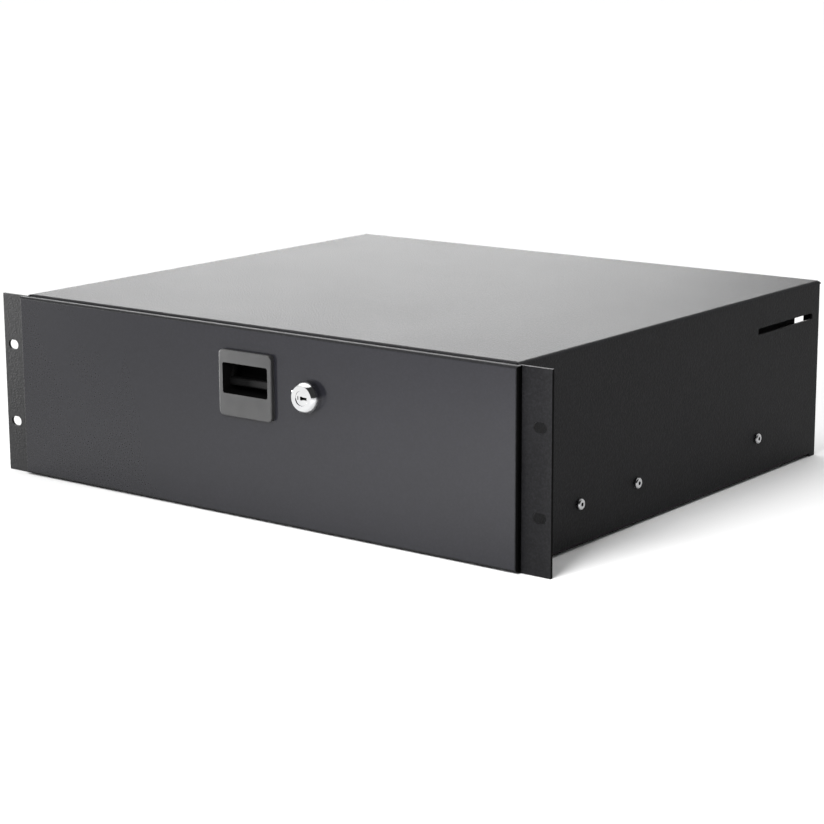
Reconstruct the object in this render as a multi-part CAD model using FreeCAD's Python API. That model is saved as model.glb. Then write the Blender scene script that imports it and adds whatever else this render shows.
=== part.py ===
"""Sliding rack drawer, 3U high, for a 19 inch equipment rack.

Millimetres. X runs across the rack, Y from the front to the rear, Z upwards.
The origin is the centre of the four slots in the rack ears, on the rear face
of the ears, which is the face that bears on the rack's front rails.
"""
import FreeCAD
import Part
import math
import os

V = FreeCAD.Vector

# ---- rack standard -------------------------------------------------------
ear_span = 482.6            # overall width across the ears
ear_height = 132.0          # panel height of three rack units
hole_pitch_x = 465.1        # across the rack
hole_pitch_z = 57.15        # up the rack
ear_slot_length = 10.0
ear_slot_width = 7.0

# ---- case: one folded sheet with its ears --------------------------------
case_sheet = 2.0
case_bend = 0.5             # inner radius of the case's folds
ear_bend = 1.0              # inner radius where side turns out to ear
ear_reach = 24.8            # ear's end beyond the outside of the case's side
case_top_rise = 1.2         # outside of the top above the ears
case_foot_lift = 1.2        # lower edge of the sides above the ears' lower end
case_rear = 392.0           # rear face of the rear flanges
case_lip_setback = 1.0      # ear's front face to the front lip of the top
front_lip_height = 10.2
rear_lip_height = 12.0
rear_flange_width = 12.8
rear_foot_length = 10.0     # the sides' rear ends reach down to the ears' level
rear_foot_corner = 3.0
rear_top_corner = 4.0
foot_flange_width = 16.5
flange_end_gap = 5.0        # foot flanges stop this far from the ends
corner_slit = 0.5           # rear lip to the corners beside it
ear_fold_tail = 0.5         # ear's strip past its bend, inside the side
lip_tail = 0.5              # a lip's strip past its bend, inside the top
rear_lip_gap = 1.0          # rear lip to the flanges beside it
rear_slot_length = 82.0
rear_slot_width = 4.6
rear_slot_drop = 24.1       # centre of the slot below the ears' top
rear_slot_setback = 12.0    # rear face of the case to the end of the slot

# ---- cross rails under the case and the strike inside its top ------------
rail_sheet = 1.2
rail_bend = 0.6
rail_depth = 30.0
rail_flange_height = 5.0
rail_inset_x = 6.0          # case side to the end of a rail
rail_fold_gap = 1.0         # foot flange to the folded part of a rail
rail_front_y = 8.0
rail_rear_gap = 3.0         # rear face of the case to the rear rail
strike_sheet = 2.0
strike_face_y = 13.0        # front face of the hanging leg
strike_left = -20.0
strike_past_lock = 20.9     # end of the strike beyond the lock's centre
strike_drop = 16.0          # lower edge of the strike below the ears' top
strike_foot = 18.0

# ---- ball bearing runners ------------------------------------------------
runner_space = 12.7         # case side to tray side
runner_height = 45.0
runner_lift = 29.5          # centre of the runners above the ears' lower end
runner_front_y = 14.0
runner_length = 350.0
runner_sheet = 1.2
race_flange = 1.9           # flange of the outer member, groove included
ball_radius = 2.0
race_play = 0.1             # ball to the bottom of its groove
race_depth = 0.7
outer_ball_depth = 6.0      # ball centre, from the case side
inner_ball_depth = 6.8
outer_member_depth = 9.5
middle_back = 1.9           # case side to the back of the middle member
middle_member_front = 10.3
inner_member_back = 3.8
cage_sheet = 0.4
cage_back_gap = 0.15        # runner to the back of its ball cage
cage_length = 92.0
cage_start = 108.0          # from the front end of the runner
cage_front_depth = 9.0
balls_in_row = 4

# ---- screws through the case sides ---------------------------------------
case_screw_y = [67.6, 137.0, 300.0]
case_screw_head = 7.6
case_screw_head_height = 2.2
case_screw_shank = 4.0
case_socket = 2.5           # across the flats
screw_hole_play = 0.1       # radial
socket_depth = 1.5
button_rim_share = 0.3      # straight rim of a button head, of its height
button_crown_share = 0.55   # flat top of a button head, of its radius
button_bulge_share = 0.16   # dome of a button head beyond a straight cone

# ---- drawer tray ---------------------------------------------------------
tray_sheet = 1.2
tray_bend = 0.8
tray_lift = 9.5             # underside of the floor above the ears' lower end
tray_side_drop = 19.5       # sides' top below the ears' top
tray_wall_drop = 11.0       # front wall's top below the ears' top
tray_rear_gap = 10.0        # rear face of the case to the tray
tray_rim_width = 8.0
tray_end_gap = 0.4          # end walls to side walls
relief_radius = 1.6
tray_screw_y = [52.0, 180.0, 308.0]
tray_screw_head = 7.0
tray_screw_head_height = 1.9
tray_screw_shank = 3.4
tray_screw_tip = 0.8        # shank past the inside of the tray
tray_socket = 2.4           # across the flats

# ---- drawer front: a shallow folded pan ----------------------------------
front_sheet = 1.5
front_bend = 0.4
front_overlap = 2.7         # front's end beyond the outside of the case's side
front_lift = 1.2            # lower edge above the ears' lower end
front_depth = 4.4
front_ear_gap = 0.5         # rim of the pan to the ears
stud_radius = 2.0
stud_length = 9.0
stud_inset = [34.2, 109.2]  # from the front's end
stud_lift = 21.0            # lower studs above the ears' lower end
stud_drop = 51.0            # upper studs below the ears' top
nut_across_flats = 7.0
nut_height = 3.2

# ---- slam latch: moulded pull, lever, pin and bracket --------------------
pull_width = 46.5
pull_height = 45.4
pull_drop = 15.5            # top of the pull below the ears' top
pull_thickness = 3.4
pull_corner = 3.6
pull_edge = 0.8
mouth_width = 39.7
mouth_height = 21.1
mouth_drop = 8.8            # top of the mouth below the top of the pull
mouth_corner = 1.6
pocket_wall = 1.4
pocket_rear = 11.0
pocket_corner = 1.5
pocket_clearance = 0.3
pocket_window_front = -5.6
pocket_window_rear = 7.4
latch_screw_x = 12.5
latch_screw_rise = 6.0      # lower screws above the bottom of the pull
latch_screw_drop = 3.6      # upper screws below its top
latch_screw_radius = 1.4
latch_screw_head = 5.6
latch_screw_head_height = 1.4
latch_screw_chamfer = 0.4
latch_screw_grip = 2.4      # depth of thread in the pull
bracket_sheet = 1.5
bracket_inside = 45.0       # between the cheeks
bracket_above_pin = 4.0
bracket_below_pin = 8.0
notch_below_pin = 1.6       # the lever's arms swing through two notches
arm_side_clear = 0.6
cheek_nose = 4.0            # radius of a cheek round the pin
pin_y = 4.5
pin_drop = 14.0             # pin below the ears' top
pin_radius = 2.0
pin_play = 0.05
pin_head_radius = 3.2
pin_head = 1.2
pin_tail = 1.2              # free end beyond the retaining ring
clip_radius = 3.6
clip_thickness = 0.8
clip_mouth = 2.0
lever_barrel = 4.0
lever_end_play = 0.4
arm_width = 3.4
arm_thickness = 2.4
mouth_play = 0.6            # lever arms to the sides of the mouth
bar_y = -2.0
bar_below_pin = 24.0
bar_depth = 4.0
bar_height = 6.0
bar_corner = 1.6
hook_width = 14.0
hook_gap = 0.3              # hook to the back of the strike
hook_rise = 1.0             # tip above the pin's axis
hook_depth = 4.5
hook_root_clear = 0.5       # hook arm to the lower edge of the strike
hook_arm_height = 2.8
hook_arm_taper = 0.5        # arm is this much thinner on each face at the barrel
hook_slope_run = 1.4        # sloped back of the tip, which rides under the strike
hook_slope_drop = 2.2
hook_corner = 0.5
hook_heel = 1.6
spring_wire = 0.5           # radius
spring_coils = 3.0
spring_pitch = 1.3
spring_clear = 0.35         # barrel to the inside of the coil
spring_gap = 0.9            # hook to the coil
lug_depth = 2.2             # lug on the hook that the spring bears on
lug_overlap = 1.0           # lug sunk in the hook
lug_past_coil = 1.2
spring_seat = 0.1           # spring's rear leg to the lug

# ---- cam lock ------------------------------------------------------------
lock_x = 53.1
lock_drop = 39.6            # lock below the ears' top
lock_cap_radius = 10.9
lock_cap_rise = 8.3
lock_cap_rim = 4.0          # straight lower part of the cap
lock_cap_bulge = 0.3        # dome of the cap beyond a straight cone
lock_face_radius = 8.4
lock_body_radius = 9.0
lock_flat = 15.6            # across the two flats of the body
lock_hole_play = 0.2
lock_body_rear = 12.6
plug_radius = 5.0
plug_play = 0.05
plug_recess = 0.5           # plug face below the cap's face
key_slot_start = -1.2       # from the plug's axis
key_slot_end = 4.3
key_slot_width = 1.7
key_notch_width = 2.5       # wider end of the slot for the key's shoulder
key_notch_length = 2.0
key_slot_depth = 6.0
shutter_slot_x = -3.4       # small slot beside the keyway
shutter_slot_length = 0.7
shutter_slot_depth = 0.6
lock_nut_radius = 13.0
lock_nut_height = 4.0
lock_nut_play = 0.05
cam_thickness = 2.0
cam_reach = 27.0
cam_width = 13.0
cam_gap = 0.3               # cam to the back of the strike
cam_square = 6.5
cam_corner = 2.5
cam_screw_head = 7.0
cam_screw_height = 2.6
cam_screw_shank = 3.0
cam_screw_reach = 5.0       # thread in the plug
cam_screw_hole = 6.0

# ---- places that follow from the sizes above -----------------------------
past = 1.0                  # a cutter's reach past the metal
ear_front = -case_sheet
ear_top = ear_height / 2
ear_bottom = -ear_top
case_half = ear_span / 2 - ear_reach
case_inner = case_half - case_sheet
case_top = ear_top + case_top_rise
case_side_foot = ear_bottom + case_foot_lift
rear_slot_z = ear_top - rear_slot_drop
rear_slot_end = case_rear - rear_slot_setback
runner_centre_z = ear_bottom + runner_lift
tray_half = case_inner - runner_space
tray_floor = ear_bottom + tray_lift
tray_side_top = ear_top - tray_side_drop
tray_wall_top = ear_top - tray_wall_drop
tray_rear = case_rear - tray_rear_gap
rail_z = case_side_foot - rail_sheet
front_half = case_half + front_overlap
front_bottom = ear_bottom + front_lift
front_top = ear_top
stud_x = [front_half - inset for inset in stud_inset]
stud_z = [ear_bottom + stud_lift, ear_top - stud_drop]
strike_right = lock_x + strike_past_lock
strike_bottom = ear_top - strike_drop
pull_top = ear_top - pull_drop
pull_bottom = pull_top - pull_height
mouth_top = pull_top - mouth_drop
mouth_bottom = mouth_top - mouth_height
latch_screw_low = pull_bottom + latch_screw_rise
latch_screw_high = pull_top - latch_screw_drop
pin_z = ear_top - pin_drop
bracket_top = pin_z + bracket_above_pin
bracket_bottom = pin_z - bracket_below_pin
bracket_notch_top = pin_z - notch_below_pin
bar_z = pin_z - bar_below_pin
lock_z = ear_top - lock_drop
front_rim = ear_front - front_ear_gap
front_face = front_rim - front_depth
front_back = front_face + front_sheet
wall_back = front_back + tray_sheet
pull_face = front_face - pull_thickness
strike_back = strike_face_y + strike_sheet
hook_face = strike_back + hook_gap
cam_front = strike_back + cam_gap
runner_rear = runner_front_y + runner_length
half_height = runner_height / 2
# heights in the runner's section, from its centre line
outer_race = half_height - race_flange
outer_ball_z = outer_race + race_depth - race_play - ball_radius
middle_top = outer_ball_z - ball_radius - race_play + race_depth
inner_ball_z = middle_top - race_depth - runner_sheet - race_play - ball_radius
middle_under = inner_ball_z + ball_radius + race_play - race_depth
inner_top = inner_ball_z - ball_radius - race_play + race_depth
inner_under = inner_top - race_depth - runner_sheet


def box(x0, x1, y0, y1, z0, z1):
    return Part.makeBox(x1 - x0, y1 - y0, z1 - z0, V(x0, y0, z0))


def mirrored(shape):
    return shape.mirror(V(0, 0, 0), V(1, 0, 0))


def fused(shapes):
    return shapes[0].fuse(shapes[1:]).removeSplitter()


def on_xz(a, b):
    return V(a, 0, b)


def on_yz(a, b):
    return V(0, a, b)


def on_xy(a, b):
    return V(a, b, 0)


def rounded_path(points, radii):
    """Edges of an open path of 2D points with its inner corners rounded.

    A radius of 0 keeps a corner sharp.
    """
    edges = []
    start = points[0]
    for index in range(1, len(points) - 1):
        corner = points[index]
        radius = radii[index - 1]
        if radius == 0:
            edges.append(("line", start, corner))
            start = corner
            continue
        into = unit(points[index - 1], corner)
        away = unit(corner, points[index + 1])
        cosine = into[0] * away[0] + into[1] * away[1]
        half_turn = math.acos(max(-1.0, min(1.0, cosine))) / 2
        reach = radius * math.tan(half_turn)
        first = (corner[0] - into[0] * reach, corner[1] - into[1] * reach)
        last = (corner[0] + away[0] * reach, corner[1] + away[1] * reach)
        bulge = radius / math.cos(half_turn) - radius
        inward = unit((0, 0), (away[0] - into[0], away[1] - into[1]))
        middle = (corner[0] + inward[0] * bulge, corner[1] + inward[1] * bulge)
        edges.append(("line", start, first))
        edges.append(("arc", first, middle, last))
        start = last
    edges.append(("line", start, points[-1]))
    return edges


def unit(first, second):
    across = second[0] - first[0]
    along = second[1] - first[1]
    length = math.hypot(across, along)
    return (across / length, along / length)


def made(edges, place):
    built = []
    for edge in edges:
        spots = [place(a, b) for a, b in edge[1:]]
        if edge[0] == "arc":
            built.append(Part.Arc(spots[0], spots[1], spots[2]).toShape())
        elif spots[0].distanceToPoint(spots[1]) > 1e-6:
            built.append(Part.makeLine(spots[0], spots[1]))
    return built


def folded(points, sheet, inner_radius, place, start, direction):
    """A folded strip of sheet.

    The points are one face of the strip, and the sheet lies to the left of
    the way they run. A fold has its inner radius inside and that radius plus
    the sheet outside. The section is swept along the given direction.
    """
    near_radii = []
    far_radii = []
    far = [shifted(points[0], points[0], points[1], sheet)]
    for index in range(1, len(points) - 1):
        into = unit(points[index - 1], points[index])
        away = unit(points[index], points[index + 1])
        turn = into[0] * away[1] - into[1] * away[0]
        near_radii.append(inner_radius + sheet if turn > 0 else inner_radius)
        far_radii.append(inner_radius if turn > 0 else inner_radius + sheet)
        across = (-into[1] - away[1], into[0] + away[0])
        scale = sheet / (1 + into[0] * away[0] + into[1] * away[1])
        corner = points[index]
        far.append((corner[0] + across[0] * scale, corner[1] + across[1] * scale))
    far.append(shifted(points[-1], points[-2], points[-1], sheet))
    near_edges = made(rounded_path(points, near_radii), place)
    far_edges = made(rounded_path(far[::-1], far_radii[::-1]), place)
    ends = [Part.makeLine(place(*points[-1]), place(*far[-1])),
            Part.makeLine(place(*far[0]), place(*points[0]))]
    wire = Part.Wire(Part.__sortEdges__(near_edges + far_edges + ends))
    face = Part.Face(wire)
    face.translate(start)
    return face.extrude(direction)


def shifted(spot, first, second, distance):
    run = unit(first, second)
    return (spot[0] - run[1] * distance, spot[1] + run[0] * distance)


def flat_outline(points, radii, place, start, direction):
    """A prism on a closed outline whose corners have the radii given."""
    middle = ((points[-1][0] + points[0][0]) / 2, (points[-1][1] + points[0][1]) / 2)
    path = [middle] + points + [middle]
    wire = Part.Wire(Part.__sortEdges__(made(rounded_path(path, radii), place)))
    face = Part.Face(wire)
    face.translate(start)
    return face.extrude(direction)


def rounded_plate(x0, x1, z0, z1, y0, y1, corner):
    corners = [(x0, z0), (x1, z0), (x1, z1), (x0, z1)]
    return flat_outline(corners, [corner] * 4, on_xz, V(0, y0, 0), V(0, y1 - y0, 0))


def rod_x(radius, x0, x1, y, z):
    return Part.makeCylinder(radius, x1 - x0, V(x0, y, z), V(1, 0, 0))


def rod_y(radius, y0, y1, x, z):
    return Part.makeCylinder(radius, y1 - y0, V(x, y0, z), V(0, 1, 0))


def slot_through_ear(x, z):
    """A cutter for a slot that is long across the rack."""
    reach = (ear_slot_length - ear_slot_width) / 2
    radius = ear_slot_width / 2
    depth = case_sheet + 2 * past
    start = ear_front - past
    bar = box(x - reach, x + reach, start, start + depth, z - radius, z + radius)
    left = rod_y(radius, start, start + depth, x - reach, z)
    right = rod_y(radius, start, start + depth, x + reach, z)
    return fused([bar, left, right])


def slot_through_side():
    """A cutter for the long slot near the rear of a side."""
    radius = rear_slot_width / 2
    x0 = case_inner - past
    x1 = case_half + past
    first = rear_slot_end - rear_slot_length + radius
    last = rear_slot_end - radius
    z = rear_slot_z
    bar = box(x0, x1, first, last, z - radius, z + radius)
    return fused([bar, rod_x(radius, x0, x1, first, z), rod_x(radius, x0, x1, last, z)])


def hexagon(across_flats, length, base, axis):
    """A hexagonal prism that stands on base along axis."""
    radius = across_flats / math.sqrt(3)
    corners = []
    for step in range(7):
        angle = math.radians(60 * step)
        corners.append(V(radius * math.cos(angle), radius * math.sin(angle), 0))
    prism = Part.Face(Part.makePolygon(corners)).extrude(V(0, 0, length))
    prism.Placement = FreeCAD.Placement(base, FreeCAD.Rotation(V(0, 0, 1), axis))
    return prism


# ---- case ----------------------------------------------------------------
def case_section(y0, y1):
    """Top, two sides and the flanges at their feet."""
    foot_end = case_half - foot_flange_width
    points = [(foot_end, case_side_foot), (case_half, case_side_foot),
              (case_half, case_top), (-case_half, case_top),
              (-case_half, case_side_foot), (-foot_end, case_side_foot)]
    return folded(points, case_sheet, case_bend, on_xz, V(0, y0, 0), V(0, y1 - y0, 0))


def ear_fold():
    """The right ear with the fold that joins it to the side."""
    points = [(ear_span / 2, 0), (case_half, 0), (case_half, ear_bend + ear_fold_tail)]
    return folded(points, case_sheet, ear_bend, on_xy,
                  V(0, 0, ear_bottom), V(0, 0, ear_height))


def rear_side_fold():
    fold = case_sheet + case_bend
    points = [(case_half, case_rear - rear_foot_length), (case_half, case_rear),
              (case_half - rear_flange_width, case_rear)]
    top = case_top - fold
    side = folded(points, case_sheet, case_bend, on_xy,
                  V(0, 0, ear_bottom), V(0, 0, top - ear_bottom))
    return side.cut(rear_corner(ear_bottom, rear_foot_corner, 1))


def rear_corner(z, radius, up):
    """A cutter that rounds the corner between the rear face and level z."""
    y0 = case_rear - radius
    z0, z1 = sorted((z - up, z + up * radius))
    block = box(-case_half - 1, case_half + 1, y0, case_rear + 1, z0, z1)
    return block.cut(rod_x(radius, -case_half - 2, case_half + 2, y0, z + up * radius))


def rear_top_corners(inner_half):
    """The ends of the top beside the rear lip, with rounded corners."""
    y0 = case_rear - case_sheet - case_bend
    z0 = case_top - case_sheet - case_bend
    band = case_section(y0, case_rear)
    ends = []
    for x0, x1 in ((inner_half, case_half), (-case_half, -inner_half)):
        end = band.common(box(x0, x1, y0, case_rear, z0, case_top))
        ends.append(end.cut(rear_corner(case_top, rear_top_corner, -1)))
    return ends


def top_lip(y_edge, y_inside, height, half_width):
    """The top's edge folded down, at the front or at the rear."""
    if y_inside > y_edge:
        points = [(y_inside, case_top), (y_edge, case_top), (y_edge, case_top - height)]
    else:
        points = [(y_edge, case_top - height), (y_edge, case_top), (y_inside, case_top)]
    return folded(points, case_sheet, case_bend, on_yz,
                  V(-half_width, 0, 0), V(2 * half_width, 0, 0))


def case_shell():
    fold = case_sheet + case_bend
    side_start = ear_bend
    side_end = case_rear - fold
    lip_edge = ear_front + case_lip_setback
    shell = [case_section(side_start, side_end)]
    shell += [ear_fold(), mirrored(ear_fold())]
    shell += [rear_side_fold(), mirrored(rear_side_fold())]
    shell.append(top_lip(lip_edge, side_start + lip_tail, front_lip_height, case_half - fold))
    rear_half = case_half - rear_flange_width - rear_lip_gap
    shell.append(top_lip(case_rear, side_end - lip_tail, rear_lip_height, rear_half))
    shell += rear_top_corners(rear_half + corner_slit)
    corner_rear = side_start + corner_slit
    corner_band = box(-case_half, case_half, lip_edge, corner_rear, case_top - fold, case_top)
    inner_band = box(-case_half + fold, case_half - fold, lip_edge - past, corner_rear,
                     case_top - fold, case_top + past)
    corners = case_section(lip_edge, corner_rear).common(corner_band).cut(inner_band)
    shell += corners.Solids
    case = fused(shell)
    cutters = []
    inside = case_inner - case_bend
    flange_ends = [(-past, flange_end_gap), (case_rear - flange_end_gap, case_rear + past)]
    for y0, y1 in flange_ends:
        for sign in (-1, 1):
            x0, x1 = sorted((sign * (case_inner - foot_flange_width), sign * inside))
            cutters.append(box(x0, x1, y0, y1, case_side_foot - past,
                               case_side_foot + case_sheet + case_bend))
    for sign in (-1, 1):
        for level in (-1, 1):
            cutters.append(slot_through_ear(sign * hole_pitch_x / 2, level * hole_pitch_z / 2))
    cutters += [slot_through_side(), mirrored(slot_through_side())]
    hole = case_screw_shank / 2 + screw_hole_play
    for y in case_screw_y:
        cutters.append(rod_x(hole, case_inner - past, case_half + past, y, runner_centre_z))
        cutters.append(rod_x(hole, -case_half - past, past - case_inner, y, runner_centre_z))
    return case.cut(cutters)


def bottom_rail(y0):
    """A shallow channel that ties the two sides together underneath."""
    half = case_half - rail_inset_x
    y1 = y0 + rail_depth
    wide = case_half - foot_flange_width - rail_fold_gap
    top = rail_z + rail_flange_height
    strap = box(-half, half, y0 + rail_bend + rail_sheet, y1 - rail_bend - rail_sheet,
                rail_z, rail_z + rail_sheet)
    points = [(y0, top), (y0, rail_z), (y1, rail_z), (y1, top)]
    channel = folded(points, rail_sheet, rail_bend, on_yz,
                     V(-wide, 0, 0), V(2 * wide, 0, 0))
    return fused([strap, channel])


def strike_plate():
    """An angle under the top: the latch hook and the lock's cam catch its leg."""
    under = case_top - case_sheet
    points = [(strike_face_y + strike_foot, under), (strike_face_y, under),
              (strike_face_y, strike_bottom)]
    return folded(points, strike_sheet, case_bend, on_yz,
                  V(strike_left, 0, 0), V(strike_right - strike_left, 0, 0))


# ---- runners -------------------------------------------------------------
def across(depth):
    """X of a depth measured inward from the inner face of the right side."""
    return case_inner - depth


def member(rects, grooves, y0, y1):
    """A runner member: rectangles of its section less its ball grooves."""
    plates = []
    for depth0, depth1, low, high in rects:
        plates.append(box(across(depth1), across(depth0), y0, y1,
                          runner_centre_z + low, runner_centre_z + high))
    shape = fused(plates)
    tracks = []
    for depth, height in grooves:
        for sign in (-1, 1):
            tracks.append(rod_y(ball_radius + race_play, y0 - 1, y1 + 1,
                                across(depth), runner_centre_z + sign * height))
    return shape.cut(tracks)


def runner_outer():
    rects = [(0, runner_sheet, -half_height, half_height),
             (0, outer_member_depth, outer_race, half_height),
             (0, outer_member_depth, -half_height, -outer_race)]
    shape = member(rects, [(outer_ball_depth, outer_ball_z)], runner_front_y, runner_rear)
    holes = []
    for y in case_screw_y:
        holes.append(rod_x(case_screw_shank / 2 + screw_hole_play,
                           across(runner_sheet) - 1, across(0) + 1, y, runner_centre_z))
    return shape.cut(holes)


def runner_middle():
    rects = [(middle_back, middle_back + runner_sheet, -middle_top, middle_top),
             (middle_back, middle_member_front, middle_under, middle_top),
             (middle_back, middle_member_front, -middle_top, -middle_under)]
    grooves = [(outer_ball_depth, outer_ball_z), (inner_ball_depth, inner_ball_z)]
    return member(rects, grooves, runner_front_y, runner_rear)


def runner_inner():
    rects = [(runner_space - runner_sheet, runner_space, -inner_top, inner_top),
             (inner_member_back, runner_space, inner_under, inner_top),
             (inner_member_back, runner_space, -inner_top, -inner_under)]
    shape = member(rects, [(inner_ball_depth, inner_ball_z)], runner_front_y, runner_rear)
    holes = []
    for y in tray_screw_y:
        holes.append(rod_x(tray_screw_shank / 2 + screw_hole_play, across(runner_space) - 1,
                           across(runner_space - runner_sheet) + 1, y, runner_centre_z))
    return shape.cut(holes)


def ball_places(depth, height):
    """Centres of the balls of the right runner, in an upper and a lower row."""
    spacing = cage_length / balls_in_row
    places = []
    for index in range(balls_in_row):
        y = runner_front_y + cage_start + spacing * (index + 0.5)
        for sign in (-1, 1):
            places.append(V(across(depth), y, runner_centre_z + sign * height))
    return places


def balls(depth, height):
    right = [Part.makeSphere(ball_radius, place) for place in ball_places(depth, height)]
    return Part.makeCompound(right + [mirrored(ball) for ball in right])


def cages(back, ball_depth, ball_height):
    """A folded strip on each side that keeps the balls at their distances."""
    y0 = runner_front_y + cage_start
    y1 = y0 + cage_length
    low = runner_centre_z - ball_height - cage_sheet / 2
    high = runner_centre_z + ball_height + cage_sheet / 2
    back_x = across(back + cage_back_gap)
    front_x = across(cage_front_depth)
    points = [(front_x, low), (back_x, low), (back_x, high), (front_x, high)]
    cage = folded(points, cage_sheet, cage_sheet / 2, on_xz, V(0, y0, 0), V(0, y1 - y0, 0))
    holes = []
    for place in ball_places(ball_depth, ball_height):
        base = V(place.x, place.y, place.z - cage_sheet)
        holes.append(Part.makeCylinder(ball_radius + race_play, 2 * cage_sheet, base))
    cage = cage.cut(holes)
    return Part.makeCompound([cage, mirrored(cage)])


def button_screw(y, head_radius, head_height, shank_radius, head_x, tip_x, socket):
    """A domed screw along X, its head seated at head_x, its tip at tip_x."""
    out = 1 if head_x > tip_x else -1
    edge = button_rim_share * head_height
    crown = button_crown_share * head_radius
    profile = [V(0, 0, head_height), V(crown, 0, head_height)]
    shoulder = V(head_radius, 0, edge)
    bulge = V((crown + head_radius) / 2 + button_bulge_share * head_radius, 0,
              (head_height + edge) / 2 + button_bulge_share * head_height)
    length = abs(head_x - tip_x)
    edges = [Part.makeLine(profile[0], profile[1]),
             Part.Arc(profile[1], bulge, shoulder).toShape(),
             Part.makeLine(shoulder, V(head_radius, 0, 0)),
             Part.makeLine(V(head_radius, 0, 0), V(shank_radius, 0, 0)),
             Part.makeLine(V(shank_radius, 0, 0), V(shank_radius, 0, -length)),
             Part.makeLine(V(shank_radius, 0, -length), V(0, 0, -length)),
             Part.makeLine(V(0, 0, -length), profile[0])]
    screw = Part.Face(Part.Wire(edges)).revolve(V(0, 0, 0), V(0, 0, 1), 360)
    recess = hexagon(socket, socket_depth + 1, V(0, 0, head_height - socket_depth), V(0, 0, 1))
    screw = screw.cut(recess)
    screw.Placement = FreeCAD.Placement(V(head_x, y, runner_centre_z),
                                        FreeCAD.Rotation(V(0, 0, 1), V(out, 0, 0)))
    return screw


def case_screws():
    tip = across(runner_sheet)
    return Part.makeCompound([
        button_screw(y, case_screw_head / 2, case_screw_head_height, case_screw_shank / 2,
                     case_half, tip, case_socket)
        for y in case_screw_y])


def tray_screws():
    seat = across(runner_space - runner_sheet)
    tip = tray_half - tray_sheet - tray_screw_tip
    return Part.makeCompound([
        button_screw(y, tray_screw_head / 2, tray_screw_head_height, tray_screw_shank / 2,
                     seat, tip, tray_socket)
        for y in tray_screw_y])


# ---- tray and drawer front -----------------------------------------------
def pocket_hole(clearance, y0, y1):
    """The opening that the moulded pull's pocket passes through."""
    half = mouth_width / 2 + pocket_wall + clearance
    return rounded_plate(-half, half, mouth_bottom - pocket_wall - clearance,
                         mouth_top + pocket_wall + clearance, y0, y1,
                         pocket_corner + clearance)


def lock_hole(clearance, y0, y1):
    """A round hole with two flats, which stops the lock body turning."""
    hole = rod_y(lock_body_radius + clearance, y0, y1, lock_x, lock_z)
    flat = lock_flat / 2 + clearance
    reach = lock_body_radius + clearance + 1
    band = box(lock_x - reach, lock_x + reach, y0, y1, lock_z - flat, lock_z + flat)
    return hole.common(band)


def front_openings(clearance, y0, y1):
    """Cutters for everything that passes through the drawer's front."""
    cutters = [pocket_hole(clearance, y0, y1), lock_hole(clearance, y0, y1)]
    for x in (-latch_screw_x, latch_screw_x):
        for z in (latch_screw_low, latch_screw_high):
            cutters.append(rod_y(latch_screw_radius + screw_hole_play, y0, y1, x, z))
    return cutters


def drawer_tray():
    half = tray_half
    rim = half - tray_rim_width
    fold = tray_sheet + tray_bend
    section = [(rim, tray_side_top), (half, tray_side_top), (half, tray_floor),
               (-half, tray_floor), (-half, tray_side_top), (-rim, tray_side_top)]
    section.reverse()
    sides = folded(section, tray_sheet, tray_bend, on_xz,
                   V(0, front_back + fold, 0), V(0, tray_rear - front_back - 2 * fold, 0))
    end_half = half - fold - tray_end_gap
    ends = [(front_back, tray_wall_top), (front_back, tray_floor),
            (tray_rear, tray_floor), (tray_rear, tray_side_top),
            (tray_rear - tray_rim_width, tray_side_top)]
    walls = folded(ends, tray_sheet, tray_bend, on_yz, V(-end_half, 0, 0), V(2 * end_half, 0, 0))
    tray = fused([sides, walls])
    cutters = front_openings(pocket_clearance, front_back - 1, wall_back + 1)
    for x in (-end_half - tray_end_gap, end_half + tray_end_gap):
        for y in (front_back + fold, tray_rear - fold):
            cutters.append(Part.makeCylinder(relief_radius, fold + 2 * past,
                                             V(x, y, tray_floor - past)))
    for y in tray_screw_y:
        for x0 in (-half - 1, half - tray_sheet - 1):
            cutters.append(rod_x(tray_screw_shank / 2 + screw_hole_play, x0,
                                 x0 + tray_sheet + 2, y, runner_centre_z))
    for x, z in stud_places():
        cutters.append(rod_y(stud_radius + screw_hole_play, front_back - 1, wall_back + 1, x, z))
    return tray.cut(cutters)


def drawer_front():
    half = front_half
    pan = box(-half, half, front_face, front_rim, front_bottom, front_top)
    edges = [edge for edge in pan.Edges
             if abs(edge.BoundBox.YMax - front_face) < 1e-6]
    pan = pan.makeFillet(front_bend + front_sheet, edges)
    hollow = box(-half + front_sheet, half - front_sheet, front_back, front_rim + 1,
                 front_bottom + front_sheet, front_top - front_sheet)
    edges = [edge for edge in hollow.Edges
             if abs(edge.BoundBox.YMax - front_back) < 1e-6]
    hollow = hollow.makeFillet(front_bend, edges)
    cutters = front_openings(lock_hole_play, front_face - 1, front_back + 1)
    return pan.cut([hollow] + cutters)


def stud_places():
    return [(sign * x, z) for x in stud_x for z in stud_z for sign in (-1, 1)]


def front_studs():
    """Studs welded on the back of the drawer front."""
    return Part.makeCompound([rod_y(stud_radius, front_back, front_back + stud_length, x, z)
                              for x, z in stud_places()])


def front_nuts():
    nuts = []
    for x, z in stud_places():
        nut = hexagon(nut_across_flats, nut_height, V(x, wall_back, z), V(0, 1, 0))
        bore = rod_y(stud_radius, wall_back - 1, wall_back + nut_height + 1, x, z)
        nuts.append(nut.cut(bore))
    return Part.makeCompound(nuts)


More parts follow.
